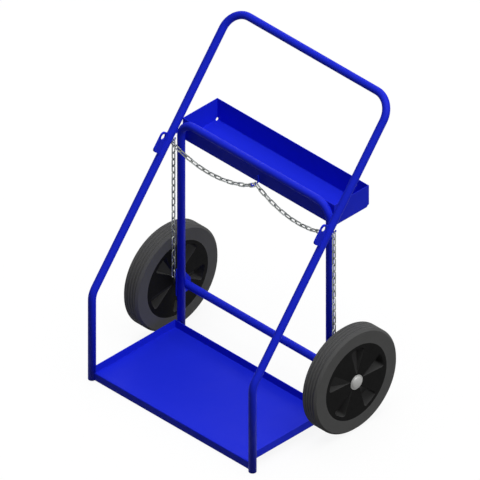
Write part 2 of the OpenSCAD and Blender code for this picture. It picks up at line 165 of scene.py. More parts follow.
class Shader(Nodes):
    """A material under construction."""

    def __init__(self, name: str) -> None:
        """Starts an empty material.

        Args:
            name: Name of the material.
        """
        self.material = bpy.data.materials.new(name)
        self.material.use_nodes = True
        super().__init__(self.material.node_tree)
        self.tree.nodes.clear()

    def noise(self, scale: float, detail: float = 3.0, stretch: Point = (1.0, 1.0, 1.0)) -> NodeSocket:
        """Noise that is fixed to the part.

        Args:
            scale: Number of waves in a metre.
            detail: Number of finer layers.
            stretch: Scale along each axis.

        Returns:
            The noise's value, about 0.5.
        """
        place = self.add("ShaderNodeTexCoord").outputs["Object"]
        stretched = self.add("ShaderNodeMapping", Vector=place, Scale=stretch).outputs["Vector"]
        noise = self.add("ShaderNodeTexNoise", Vector=stretched, Scale=scale, Detail=detail)
        return noise.outputs["Fac"]

    def spread(self, value: NodeSocket, low: float, high: float) -> NodeSocket:
        """Spreads noise over a range.

        Args:
            value: A value about 0.5.
            low: Result where the value is low.
            high: Result where the value is high.

        Returns:
            The value in the range.
        """
        first, last = NOISE_SPAN
        ends = {"From_Min": first, "From_Max": last, "To_Min": low, "To_Max": high}
        return self.add("ShaderNodeMapRange", Value=value, **ends).outputs["Result"]

    def blend(self, amount: NodeSocket, dark: Point, light: Point) -> NodeSocket:
        """Mixes two colours.

        Args:
            amount: Share of the lighter colour.
            dark: Colour at 0.
            light: Colour at 1.

        Returns:
            The mixed colour.
        """
        ramp = self.add("ShaderNodeValToRGB", Fac=amount)
        for element, colour in zip(ramp.color_ramp.elements, (dark, light)):
            element.color = (*colour, 1.0)
        return ramp.outputs["Color"]

    def finish(self, surface: NodeSocket) -> Material:
        """Ends the material with its surface."""
        self.add("ShaderNodeOutputMaterial", Surface=surface)
        return self.material


@dataclass(frozen=True)
class Finish:
    """A finish with patches of two tones, uneven gloss and fine relief.

    Waves are counted in a metre, and detail is the number of finer layers of a noise.
    """

    colour: Point
    darker: Point
    roughness: Range
    patch_waves: float
    gloss_waves: float
    relief_waves: float
    relief_mm: float
    relief_strength: float
    patch_detail: float = 3.0
    relief_detail: float = 1.0
    stretch: Point = (1.0, 1.0, 1.0)
    metallic: float = 0.0
    specular: float = 0.5

    def build(self, name: str) -> Material:
        """Makes the material.

        Args:
            name: Name of the material.

        Returns:
            The material.
        """
        shader = Shader(name)
        skin = shader.blend(self.tone(shader), self.darker, self.colour)
        gloss = shader.noise(self.gloss_waves)
        relief = shader.add(
            "ShaderNodeBump",
            Height=shader.noise(self.relief_waves, self.relief_detail, self.stretch),
            Strength=self.relief_strength,
            Distance=self.relief_mm * MM,
        )
        surface = shader.add(
            "ShaderNodeBsdfPrincipled",
            Base_Color=self.with_painted_light(shader, skin),
            Roughness=shader.spread(gloss, *self.roughness),
            Normal=relief.outputs["Normal"],
            Metallic=self.metallic,
            Specular_IOR_Level=self.specular,
        )
        return shader.finish(surface.outputs["BSDF"])

    def tone(self, shader: Shader) -> NodeSocket:
        """Share of the lighter colour."""
        return shader.noise(self.patch_waves, self.patch_detail, self.stretch)

    def with_painted_light(self, shader: Shader, skin: NodeSocket) -> NodeSocket:
        """The colour with painted light laid on it, which is none on a plain finish."""
        return skin


@dataclass(frozen=True)
class PowderCoat(Finish):
    """Semi-gloss powder coat with a faint orange peel."""

    colour: Point = (0.011, 0.024, 0.68)
    darker: Point = (0.01, 0.021, 0.63)
    roughness: Range = (0.46, 0.56)
    patch_waves: float = 2.5
    gloss_waves: float = 18.0
    relief_waves: float = 420.0
    relief_mm: float = 0.05
    relief_strength: float = 0.35
    specular: float = 0.08


@dataclass(frozen=True)
class ZincSteel(Finish):
    """Zinc-plated steel, with a tone of its own on each link where the mesh carries one."""

    colour: Point = (0.4, 0.42, 0.4)
    darker: Point = (0.2, 0.215, 0.205)
    roughness: Range = (0.3, 0.45)
    patch_waves: float = 60.0
    gloss_waves: float = 240.0
    relief_waves: float = 700.0
    relief_mm: float = 0.02
    relief_strength: float = 0.2
    relief_detail: float = 2.0
    metallic: float = 1.0
    tone_attribute: str = ""

    def tone(self, shader: Shader) -> NodeSocket:
        """Share of the lighter colour.

        Args:
            shader: The material.

        Returns:
            The link's own tone, or noise.
        """
        if self.tone_attribute:
            link = shader.add("ShaderNodeAttribute", {"attribute_name": self.tone_attribute})
            return link.outputs["Fac"]
        return shader.spread(super().tone(shader), 0.0, 1.0)


@dataclass(frozen=True)
class TurnedMetal(Finish):
    """Bare metal with fine turning marks across its axis, which runs along X."""

    colour: Point = (0.56, 0.56, 0.55)
    darker: Point = (0.4, 0.4, 0.39)
    roughness: Range = (0.28, 0.4)
    patch_waves: float = 900.0
    gloss_waves: float = 30.0
    relief_waves: float = 900.0
    relief_mm: float = 0.02
    relief_strength: float = 0.2
    patch_detail: float = 2.0
    relief_detail: float = 2.0
    stretch: Point = (1.0, 0.02, 0.02)
    metallic: float = 1.0


@dataclass(frozen=True)
class MouldedPlastic(Finish):
    """Black moulded plastic with a fine skin, and painted light on the pockets of the wheel's two faces: a
    lighter colour where a surface turns away from the axle's direction.
    """

    colour: Point = (0.0065, 0.0065, 0.0065)
    darker: Point = (0.0045, 0.0045, 0.0045)
    roughness: Range = (0.5, 0.62)
    patch_waves: float = 30.0
    gloss_waves: float = 60.0
    relief_waves: float = 900.0
    relief_mm: float = 0.03
    relief_strength: float = 0.25
    specular: float = 0.03
    # Painted light: the lighter colour laid on the pockets' walls in place of the light that falls on them
    painted_light_colour: Point = (0.06, 0.06, 0.06)
    wall: float = 0.81
    face: float = 0.995

    def with_painted_light(self, shader: Shader, skin: NodeSocket) -> NodeSocket:
        """Paints light onto the pockets' walls: a lighter colour that stands in for the light falling on
        them.

        Args:
            shader: The material.
            skin: Colour of the clean plastic.

        Returns:
            The colour with the painted light.
        """
        # Painted light: the pockets' walls and sloping floors are made lighter, as if lit
        painted_lit_walls = shader.add("ShaderNodeMix", {"data_type": "RGBA"})
        shader.feed(painted_lit_walls.inputs[0], self.painted_light_share(shader))
        clean, full = [socket for socket in painted_lit_walls.inputs if socket.type == "RGBA"]
        shader.feed(clean, skin)
        shader.feed(full, (*self.painted_light_colour, 1.0))
        return next(socket for socket in painted_lit_walls.outputs if socket.type == "RGBA")

    def painted_light_share(self, shader: Shader) -> NodeSocket:
        """Share of painted light, told by how far the surface turns away from the axle's direction.

        Args:
            shader: The material.

        Returns:
            0 on the wheel's flat faces and 1 on the pockets' walls.
        """
        normal = shader.add("ShaderNodeTexCoord").outputs["Normal"]
        along = shader.math("ABSOLUTE", shader.combine("ShaderNodeSeparateXYZ", normal))
        share = shader.add("ShaderNodeMapRange", Value=along, From_Min=self.face, From_Max=self.wall)
        return share.outputs["Result"]


@dataclass(frozen=True)
class SolidRubber(Finish):
    """Dull grey rubber with dusted, slightly lighter patches."""

    colour: Point = (0.096, 0.096, 0.095)
    darker: Point = (0.082, 0.082, 0.082)
    roughness: Range = (0.7, 0.85)
    patch_waves: float = 14.0
    gloss_waves: float = 40.0
    relief_waves: float = 500.0
    relief_mm: float = 0.08
    relief_strength: float = 0.35
    patch_detail: float = 5.0
    relief_detail: float = 3.0
    specular: float = 0.08


FINISHES: dict[Slot, Finish] = {
    Slot.BLUE_PAINT: PowderCoat(),
    Slot.CHAIN_STEEL: ZincSteel(tone_attribute=LINK_TONE),
    Slot.CAP_STEEL: ZincSteel((0.48, 0.48, 0.47), (0.43, 0.43, 0.42), (0.4, 0.5), metallic=0.2),
    Slot.AXLE_STEEL: TurnedMetal(),
    Slot.BUSH_BRONZE: TurnedMetal(colour=(0.5, 0.3, 0.12), darker=(0.36, 0.21, 0.08)),
    Slot.WHEEL_PLASTIC: MouldedPlastic(),
    Slot.TYRE_RUBBER: SolidRubber(),
}


# Node trees for the meshes


class ShapeTree(Nodes):
    """A geometry node tree under construction."""

    def __init__(self, name: str, numbers: dict[str, float], counts: dict[str, int]) -> None:
        """Starts a tree that takes geometry, named sizes, named counts and a material.

        Args:
            name: Name of the tree.
            numbers: Default of each size.
            counts: Default of each count.
        """
        super().__init__(bpy.data.node_groups.new(name, "GeometryNodeTree"))
        face = self.tree.interface
        face.new_socket("Geometry", in_out="INPUT", socket_type="NodeSocketGeometry")
        for kind, values in (("NodeSocketFloat", numbers), ("NodeSocketInt", counts)):
            for key, value in values.items():
                face.new_socket(key, in_out="INPUT", socket_type=kind).default_value = value
        face.new_socket("Material", in_out="INPUT", socket_type="NodeSocketMaterial")
        face.new_socket("Geometry", in_out="OUTPUT", socket_type="NodeSocketGeometry")
        self.start = self.tree.nodes.new("NodeGroupInput")
        self.end = self.tree.nodes.new("NodeGroupOutput")

    def given(self, name: str) -> NodeSocket:
        """The tree's input of this name."""
        return self.start.outputs[name]

    def path(self) -> NodeSocket:
        """The given mesh's edges as curves."""
        return self.add("GeometryNodeMeshToCurve", Mesh=self.given("Geometry")).outputs["Curve"]

    def circle(self, radius: str, steps: str) -> NodeSocket:
        """Circle whose radius and number of steps are the tree's inputs of these names."""
        sizes = {"Radius": self.given(radius), "Resolution": self.given(steps)}
        return self.add("GeometryNodeCurvePrimitiveCircle", **sizes).outputs["Curve"]

    def swept(self, path: NodeSocket, section: NodeSocket, size: object, caps: bool) -> NodeSocket:
        """Sweeps a section along a path.

        Args:
            path: The path's curve.
            section: The section's curve.
            size: Socket or value that the section is multiplied by.
            caps: Whether the ends are closed.

        Returns:
            The mesh.
        """
        node = self.add("GeometryNodeCurveToMesh", Curve=path, Profile_Curve=section, Fill_Caps=caps)
        self.feed(node.inputs["Scale"], size)
        return node.outputs["Mesh"]

    def finish(self, geometry: NodeSocket) -> NodeTree:
        """Ends the tree with smooth shading, real geometry and the material.

        Args:
            geometry: What the tree has made.

        Returns:
            The finished tree.
        """
        smooth = self.combine("GeometryNodeSetShadeSmooth", geometry)
        real = self.combine("GeometryNodeRealizeInstances", smooth)
        dressed = self.add("GeometryNodeSetMaterial", Geometry=real, Material=self.given("Material"))
        self.feed(self.end.inputs[0], dressed.outputs[0])
        return self.tree


def tube_tree() -> NodeTree:
    """Tree that makes a round skin along a path."""
    tree = ShapeTree("tube_along_path", {"Radius": 0.0127}, {"Sides": 48})
    return tree.finish(tree.swept(tree.path(), tree.circle("Radius", "Sides"), 1.0, False))


def bead_tree() -> NodeTree:
    """Makes the tree that lays a rippled weld bead along each path.

    Returns:
        The tree.
    """
    sizes = {"Radius": 0.0018, "Ripple": 0.0022, "Swell": 0.12}
    tree = ShapeTree("weld_bead", sizes, {"Sides": 8, "Ripple steps": 5})
    step = tree.math("DIVIDE", tree.given("Ripple"), tree.given("Ripple steps"))
    even = tree.add("GeometryNodeResampleCurve", {"mode": "LENGTH"}, Curve=tree.path(), Length=step)
    along = tree.add("GeometryNodeSplineParameter").outputs["Length"]
    turns = tree.math("MULTIPLY", tree.math("DIVIDE", along, tree.given("Ripple")), math.tau)
    wave = tree.math("MULTIPLY", tree.math("SINE", turns), tree.given("Swell"))
    size = tree.math("ADD", wave, 1.0)
    return tree.finish(tree.swept(even.outputs["Curve"], tree.circle("Radius", "Sides"), size, True))


def ring_tree() -> NodeTree:
    """Makes the tree that turns a section about the Z axis.

    Returns:
        The tree.
    """
    tree = ShapeTree("section_round_axis", {"Path radius": 0.15}, {"Steps": 160})
    circle = tree.circle("Path radius", "Steps")
    upright = tree.add("GeometryNodeSetCurveNormal", {"mode": "Z_UP"}, Curve=circle)
    return tree.finish(tree.swept(upright.outputs[0], tree.path(), 1.0, False))


def chain_tree() -> NodeTree:
    """Makes the tree that puts a wire link at each point, turned as the point says.

    Returns:
        The tree.
    """
    sizes = {
        "Wire radius": 0.0022, "Length": 0.0283, "Width": 0.011, "Corner share": 0.499,
        "Weld swell": 0.14, "Weld reach": 0.0016,
    }
    tree = ShapeTree("chain_links", sizes, {"Steps": 56, "Sides": 12, "Corner steps": 12})
    length, width = tree.given("Length"), tree.given("Width")
    outline = tree.add("GeometryNodeCurvePrimitiveQuadrilateral", Width=length, Height=width)
    round_ends = tree.add(
        "GeometryNodeFilletCurve",
        {"mode": "POLY"},
        Curve=outline.outputs["Curve"],
        Radius=tree.math("MULTIPLY", width, tree.given("Corner share")),
        Count=tree.given("Corner steps"),
    )
    rounded, steps = round_ends.outputs["Curve"], tree.given("Steps")
    even = tree.add("GeometryNodeResampleCurve", Curve=rounded, Count=steps)
    spot = tree.add("ShaderNodeSeparateXYZ", Vector=tree.add("GeometryNodeInputPosition").outputs[0])
    off_centre = tree.math("DIVIDE", spot.outputs["X"], tree.given("Weld reach"))
    fade = tree.math("EXPONENT", tree.math("MULTIPLY", tree.math("MULTIPLY", off_centre, off_centre), -1.0))
    on_weld = tree.math("MULTIPLY", fade, tree.math("GREATER_THAN", spot.outputs["Y"], 0.0))
    size = tree.math("ADD", tree.math("MULTIPLY", on_weld, tree.given("Weld swell")), 1.0)
    link = tree.swept(even.outputs["Curve"], tree.circle("Wire radius", "Sides"), size, False)
    turn = tree.add("GeometryNodeInputNamedAttribute", {"data_type": "FLOAT_VECTOR"}, Name=TURN)
    angles = tree.add("FunctionNodeEulerToRotation", Euler=turn.outputs["Attribute"])
    points, rotation = tree.given("Geometry"), angles.outputs["Rotation"]
    links = tree.add("GeometryNodeInstanceOnPoints", Points=points, Instance=link, Rotation=rotation)
    tone = tree.add("FunctionNodeRandomValue", {"data_type": "FLOAT"}, Seed=SEED)
    toned = tree.add(
        "GeometryNodeStoreNamedAttribute",
        {"data_type": "FLOAT", "domain": "INSTANCE"},
        Geometry=links.outputs["Instances"],
        Name=LINK_TONE,
        Value=next(socket for socket in tone.outputs if socket.enabled),
    )
    return tree.finish(toned.outputs["Geometry"])


# Helpers for meshes and pieces


def path_mesh(name: str, paths: list[Path], closed: bool = False) -> Mesh:
    """Makes a mesh of edges along one or more paths.

    Args:
        name: Name of the mesh.
        paths: Points of each path in millimetres.
        closed: Whether each path ends where it starts.

    Returns:
        The mesh, in metres.
    """
    points: list[Vector] = []
    edges: list[tuple[int, int]] = []
    for path in paths:
        first = len(points)
        points += [p * MM for p in path]
        edges += [(i, i + 1) for i in range(first, len(points) - 1)]
        if closed:
            edges.append((len(points) - 1, first))
    mesh = bpy.data.meshes.new(name)
    mesh.from_pydata(points, edges, [])
    return mesh


def final_mesh(thing: Object) -> Mesh:
    """Takes an object's mesh with its modifiers applied, and clears the modifiers.

    Args:
        thing: The object.

    Returns:
        The mesh.
    """
    depsgraph = bpy.context.evaluated_depsgraph_get()
    mesh = bpy.data.meshes.new_from_object(
        thing.evaluated_get(depsgraph), preserve_all_data_layers=True, depsgraph=depsgraph
    )
    thing.modifiers.clear()
    return mesh


def placed(name: str, data: ID) -> Object:
    """Puts data into the scene.

    Args:
        name: Name of the object.
        data: Mesh, camera or light.

    Returns:
        The object, at the origin.
    """
    thing = bpy.data.objects.new(name, data)
    bpy.context.scene.collection.objects.link(thing)
    return thing


def grow(name: str, source: Mesh, tree: NodeTree, values: dict[str, object]) -> Object:
    """Runs a node tree and keeps its result as a plain mesh.

    Args:
        name: Name of the piece.
        source: Mesh that the tree starts from.
        tree: The node tree.
        values: The tree's inputs by name.

    Returns:
        The piece, in the scene.
    """
    carrier = placed(name + "_source", source)
    modifier = carrier.modifiers.new("shape", "NODES")
    modifier.node_group = tree
    for socket in tree.interface.items_tree:
        if socket.item_type == "SOCKET" and socket.in_out == "INPUT" and socket.name in values:
            modifier[socket.identifier] = values[socket.name]
    mesh = final_mesh(carrier)
    bpy.data.objects.remove(carrier)
    mesh.name = name
    return placed(name, mesh)


def point_outwards(mesh: Mesh) -> None:
    """Merges double points and turns all faces of a mesh outwards.

    Args:
        mesh: The mesh.
    """
    shape = bmesh.new()
    shape.from_mesh(mesh)
    bmesh.ops.remove_doubles(shape, verts=shape.verts, dist=MERGE_M)
    bmesh.ops.recalc_face_normals(shape, faces=shape.faces)
    shape.to_mesh(mesh)
    shape.free()


def arc(centre: Vector, start: Vector, end: Vector, steps: int) -> Path:
    """Points along an arc.

    Args:
        centre: The arc's centre.
        start: First point.
        end: Last point, less than half a turn on.
        steps: Number of steps.

    Returns:
        The points, with both ends.
    """
    first, last = start - centre, end - centre
    axis, angle = first.rotation_difference(last).to_axis_angle()
    return [centre + Matrix.Rotation(angle * i / steps, 3, axis) @ first for i in range(steps + 1)]


def bent_path(corners: Path, radii: list[float], steps: int = 14) -> Path:
    """Path with a round bend at each inner corner.

    Args:
        corners: Corner points with both ends.
        radii: Centre line radius at each inner corner.
        steps: Number of steps in a bend.

    Returns:
        The path's points.
    """
    points = [corners[0]]
    for before, corner, beyond, radius in zip(corners, corners[1:], corners[2:], radii):
        back, ahead = (before - corner).normalized(), (beyond - corner).normalized()
        half = back.angle(ahead) / 2
        reach = radius / math.tan(half)
        centre = corner + (back + ahead).normalized() * radius / math.sin(half)
        points += arc(centre, corner + back * reach, corner + ahead * reach, steps)
    points.append(corners[-1])
    return points


# Sub-assemblies


@dataclass
class Tubework:
    """The two bent tube frames."""

    radius: float = 12.7
    wall: float = 2.1
    leg_x: float = 344.35
    leg_y: float = -302.4
    arm_foot_z: float = 313.0
    handle_z: float = 1076.0
    lower_bend: float = 63.5
    upper_bend: float = 70.0
    post_x: float = 318.95
    post_y: float = 55.0
    post_foot_z: float = 25.3
    crossbar_z: float = 793.4
    rear_bend: float = 56.0

    @property
    def lean(self) -> float:
        """Angle of the arms from upright."""
        return math.atan2(-2 * self.leg_y, self.handle_z - self.arm_foot_z)

    def arm_point(self, side: Side, along: float, forward: float, outward: float) -> Vector:
        """Point measured from an arm.

        Args:
            side: Side of the cart.
            along: Distance up the arm from its foot.
            forward: Distance square out of the arm's front.
            outward: Distance sideways from the arm's centre line.

        Returns:
            The point in millimetres.
        """
        sin, cos = math.sin(self.lean), math.cos(self.lean)
        y = self.leg_y + along * sin - forward * cos
        z = self.arm_foot_z + along * cos + forward * sin
        return side.place(self.leg_x + outward, y, z)

    def both_sides(self, half: list[Point]) -> Path:
        """Path over these corners on the left side, and back over them on the right side."""
        return [Side.LEFT.place(*p) for p in half] + [Side.RIGHT.place(*p) for p in half[::-1]]

    def build(self, paint: Material) -> list[Object]:
        """Makes both frames.

        Args:
            paint: The frames' finish.

        Returns:
            The pieces.
        """
        x, y = self.leg_x, self.leg_y
        handle = self.both_sides([(x, y, 0), (x, y, self.arm_foot_z), (x, -y, self.handle_z)])
        bends = [self.lower_bend, self.upper_bend, self.upper_bend, self.lower_bend]
        x, y = self.post_x, self.post_y
        rear = self.both_sides([(x, y, self.post_foot_z), (x, y, self.crossbar_z)])
        tree = tube_tree()
        return [
            self.tube("handle_tube", bent_path(handle, bends), tree, paint, "handle_frame"),
            self.tube("rear_tube", bent_path(rear, [self.rear_bend] * 2), tree, paint, "rear_frame"),
        ]

    def tube(self, name: str, path: Path, tree: NodeTree, paint: Material, node: str) -> Object:
        """Makes one tube with its wall.

        Args:
            name: Name of the piece.
            path: Centre line.
            tree: Tree for the tube's skin.
            paint: Finish.
            node: Part that the piece stands for.

        Returns:
            The piece.
        """
        values = {"Radius": self.radius * MM, "Material": paint}
        piece = grow(name, path_mesh(name, [path]), tree, values)
        point_outwards(piece.data)
        wall = piece.modifiers.new("wall", "SOLIDIFY")
        wall.thickness = self.wall * MM
        wall.offset = -1.0
        piece.data = final_mesh(piece)
        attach(piece, "frame")
        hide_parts(node)
        return piece


@dataclass
class TurnedPart:
    """A round part on each side of the cart, turned about the axle.

    The section is swept along a circle whose radius is path_share of the part's. foot_x is the distance
    from the middle plane to the section's foot.
    """

    radius: float
    foot_x: float
    axle_y: float = 74.2
    axle_z: float = 177.8
    path_share: float = 0.85
    steps: int = 160

    def section(self) -> Path:
        """Outline of the section: X away from the axle and Y outwards from its foot."""
        raise NotImplementedError

    def turned(self, name: str, side: Side, tree: NodeTree, material: Material) -> Object:
        """Turns the section about the axle.

        Args:
            name: Name of the piece.
            side: Side of the cart.
            tree: Tree that turns a section.
            material: Finish.

        Returns:
            The piece.
        """
        path_radius = self.radius * self.path_share
        shift = Vector((path_radius, 0, 0))
        outline = path_mesh(name, [[p - shift for p in self.section()]], closed=True)
        values = {"Path radius": path_radius * MM, "Steps": self.steps, "Material": material}
        piece = grow(name, outline, tree, values)
        # The section's width runs down from its foot, and is turned to run outwards
        turn = Matrix.Rotation(math.radians(-QUARTER * side.value), 4, "Y")
        place = side.place(self.foot_x, self.axle_y, self.axle_z) * MM
        piece.data.transform(Matrix.Translation(place) @ turn)
        point_outwards(piece.data)
        piece.data.shade_smooth()
        piece.data.set_sharp_from_angle(angle=math.radians(SHARP))
        return piece


@dataclass
class Tyres(TurnedPart):
    """Solid rubber tyres with grooves round the tread."""

    radius: float = 177.8
    foot_x: float = 353.2
    seat_radius: float = 129.8
    width: float = 59.8
    shoulder: float = 7.0
    seat_ridge: float = 6.0
    grooves: int = 4
    groove_step: float = 10.8
    first_groove: float = 44.8
    groove_depth: float = 3.2
    groove_half: float = 1.9
    groove_floor_half: float = 0.7
    lip: float = 0.4
    lip_drop: float = 0.3

    def section(self) -> Path:
        """Outline of the tyre's section.

        Returns:
            Points with X away from the axle and Y away from the inner face.
        """
        corner, seat, middle = self.radius - self.shoulder, self.seat_radius, self.width / 2
        ridge = self.seat_ridge
        points = [(seat, 0.0), (corner, 0.0), (self.radius, self.shoulder)]
        points += self.tread()
        points += [
            (self.radius, self.width - self.shoulder), (corner, self.width), (seat, self.width),
            (seat, middle + ridge), (seat - ridge, middle + ridge),
            (seat - ridge, middle - ridge), (seat, middle - ridge),
        ]
        return [Vector((x, y, 0)) for x, y in points]

    def tread(self) -> list[tuple[float, float]]:
        """Outline of the grooves.

        Returns:
            Distances from the axle and from the inner face, from there outwards.
        """
        points = []
        top, edge, floor = self.radius, self.radius - self.lip_drop, self.radius - self.groove_depth
        half, bottom = self.groove_half, self.groove_floor_half
        for i in reversed(range(self.grooves)):
            middle = self.first_groove - i * self.groove_step
            points += [
                (top, middle - half - self.lip), (edge, middle - half), (floor, middle - bottom),
                (floor, middle + bottom), (edge, middle + half), (top, middle + half + self.lip),
            ]
        return points

    def build(self, rubber: Material) -> list[Object]:
        """Makes both tyres.

        Args:
            rubber: The tyres' finish.

        Returns:
            The pieces.
        """
        tree = ring_tree()
        pieces = []
        for side in Side:
            piece = self.turned(f"tyre_{side.word}_tread", side, tree, rubber)
            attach(piece, f"wheel_{side.word}")
            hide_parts(f"tyre_{side.word}")
            pieces.append(piece)
        return pieces


@dataclass
class AxleCaps(TurnedPart):
    """Pressed caps with a rim, a crease and a high dome."""

    radius: float = 25.0
    foot_x: float = 413.4
    path_share: float = 0.88
    steps: int = 72
    rim_height: float = 2.4
    bevel: float = 0.7
    crease_radius: float = 22.4
    crease_height: float = 1.6
    dome_radius: float = 22.0
    height: float = 11.05
    sheet: float = 1.4
    dome_steps: int = 14

    def dome(self, radius: float, height: float, foot: float) -> list[tuple[float, float]]:
        """Distances from the axle and along it, from a dome's edge at foot to its top at height."""
        quarter = [math.pi / 2 * i / self.dome_steps for i in range(self.dome_steps + 1)]
        return [(radius * math.cos(a), foot + (height - foot) * math.sin(a)) for a in quarter]

    def section(self) -> Path:
        """Outline of the cap's section.

        Returns:
            Points with X away from the axle and Y away from the wheel.
        """
        rim, top, bevel = self.radius, self.rim_height, self.bevel
        points = [
            (rim, 0.0), (rim, top - bevel), (rim - bevel, top), (self.crease_radius + bevel, top),
            (self.crease_radius, self.crease_height),
        ]
        points += self.dome(self.dome_radius, self.height, self.crease_height)
        inside = self.dome(self.dome_radius - self.sheet, self.height - self.sheet, 0.0)
        return [Vector((x, y, 0)) for x, y in points + inside[::-1]]

    def build(self, steel: Material) -> list[Object]:
        """Makes both caps.

        Args:
            steel: The caps' finish.

        Returns:
            The pieces.
        """
        tree = ring_tree()
        pieces = []
        for side in Side:
            piece = self.turned(f"axle_cap_{side.word}_shell", side, tree, steel)
            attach(piece, "frame")
            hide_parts(f"axle_cap_{side.word}")
            pieces.append(piece)
        return pieces


@dataclass
class Chains:
    """Welded link chains with their sagging stretches and tails."""

    wire: float = 4.4
    width: float = 15.4
    inside: float = 24.6
    gap: float = 0.3
    hook: float = 4.8
    side_x: float = 344.35
    tail_y: float = 47.2
    swag_y: float = 37.8
    side_hook_z: float = 711.0
    centre_hook_z: float = 716.5
    tail_links: int = 10
    swag_links: int = 15
    first_turn: float = 10.0
    first_climb: float = -12.0
    first_play: float = 0.5
    first_join: float = 5.3
    sag_climb: float = -21.0
    last_climb: float = 31.0
    right_end_y: float = 56.1
    left_end_y: float = 48.1
    sag_range: Range = (5.0, 150.0)
    sag_rounds: int = 20
    step_rounds: int = 24
    # Share of the curve that one link surely doesn't reach over
    step_share: float = 0.2

    @property
    def length(self) -> float:
        """Length of a link between the centres of its end wires."""
        return self.inside + self.wire

    @property
    def step(self) -> float:
        """Distance from one link to the next."""
        return self.inside - self.gap

    @property
    def reach(self) -> float:
        """How far a link's end wire lies beyond the place where it meets the next link."""
        return (self.length - self.step) / 2

    @property
    def on_hook(self) -> float:
        """Distance from a hook's rod to the end wire of a link on it."""
        return (self.hook + self.wire) / 2 + self.gap

    def heading(self, turn: float, climb: float) -> Vector:
        """Direction inwards, turned forwards and upwards by angles in degrees."""
        t, c = math.radians(turn), math.radians(climb)
        return Vector((-math.cos(c) * math.cos(t), -math.cos(c) * math.sin(t), math.sin(c)))

    def between(self, start: Vector, end: Vector, roll: float) -> Link:
        """Lays a link between two points of the chain's line.

        Args:
            start: First point.
            end: Second point.
            roll: Turn about the line in degrees.

        Returns:
            Place and turn of the link.
        """
        run = end - start
        climb = math.atan2(run.z, math.hypot(run.x, run.y))
        turn = math.atan2(run.y, run.x)
        return (start + end) / 2, Euler((math.radians(roll), -climb, turn), "XYZ").to_matrix()

    def swag(self, end_y: float) -> list[Link]:
        """Lays the sagging stretch on the right side.

        Args:
            end_y: Where its last link lies on the centre hook.

        Returns:
            The links.
        """
        ahead = self.heading(self.first_turn, self.first_climb)
        on_side_hook = Vector((self.side_x, self.swag_y, self.side_hook_z))
        start = on_side_hook - (self.on_hook + self.first_play - self.reach) * ahead
        end_wire = start + (self.step + self.reach) * ahead
        last = self.heading(0.0, self.last_climb)
        end = Vector((0.0, end_y, self.centre_hook_z)) + (self.on_hook - self.reach) * last
        sag_end = end - self.step * last
        run = sag_end - end_wire
        sag_turn = -math.degrees(math.atan2(run.y, -run.x))
        sag_start = end_wire + (self.reach - self.first_join) * self.heading(sag_turn, self.sag_climb)
        points = self.sagging(sag_start, sag_end)
        twist = 2 * QUARTER * ((self.swag_links - 1) // 2) / (self.swag_links - 1)
        links = [self.between(start, start + self.step * ahead, QUARTER)]
        for i, (a, b) in enumerate(zip(points, points[1:])):
            links.append(self.between(a, b, QUARTER + twist * (i + 1)))
        links.append(self.between(sag_end, end, QUARTER))
        return links

    def sagging(self, start: Vector, end: Vector) -> Path:
        """Points where the links of the free stretch meet.

        Args:
            start: First point.
            end: Point that the last link reaches.

        Returns:
            The points, one link apart.
        """
        low, high = self.sag_range
        points: Path = []
        for _ in range(self.sag_rounds):
            sag = (low + high) / 2
            points, last = self.walk(start, end, sag)
            low, high = (sag, high) if last > 1 else (low, sag)
        return points

    def walk(self, start: Vector, end: Vector, sag: float) -> tuple[Path, float]:
        """Steps along a curve of a given sag, one link at a time.

        Args:
            start: First point of the curve.
            end: Last point of the curve.
            sag: Depth of the curve's middle.

        Returns:
            The points, and the last one's share of the curve.
        """
        def at(share: float) -> Vector:
            """Point at a share of the curve."""
            return start.lerp(end, share) - Vector((0, 0, 4 * sag * share * (1 - share)))

        share, points = 0.0, [at(0.0)]
        for _ in range(self.swag_links - 2):
            low, high = share, share + self.step_share
            for _ in range(self.step_rounds):
                middle = (low + high) / 2
                if (at(middle) - points[-1]).length < self.step:
                    low = middle
                else:
                    high = middle
            share = (low + high) / 2
            points.append(at(share))
        return points, share

    def hanging(self, top_z: float) -> list[Link]:
        """Lays links straight down on the right side.

        Args:
            top_z: Height of the first link's upper end wire.

        Returns:
            The links.
        """
        links = []
        for i in range(self.tail_links):
            start = Vector((self.side_x, self.tail_y, top_z - self.reach - i * self.step))
            links.append(self.between(start, start - Vector((0, 0, self.step)), QUARTER * i))
        return links

    def lengths(self, end_y: float) -> dict[str, tuple[str, list[Link]]]:
        """Links of one side by the part that they stand for.

        Args:
            end_y: Where the sagging stretch ends on the centre hook.

        Returns:
            Name of the part, with the body that carries it and its links.
        """
        hung_top = self.side_hook_z + self.on_hook
        hung_bottom = hung_top - self.length
        tail_top = hung_bottom + self.wire + self.gap
        hinge = tail_top - (self.tail_links - 1) * self.step - self.length
        ends = [Vector((self.side_x, self.tail_y, z)) for z in (hung_top, hung_bottom)]
        return {
            "hung_link": ("frame", [self.between(*ends, QUARTER)]),
            "chain_swag": ("swag", self.swag(end_y)),
            "chain_tail_upper": ("tail_upper", self.hanging(tail_top)),
            "chain_tail_lower": ("tail_lower", self.hanging(hinge + self.wire + self.gap)),
        }

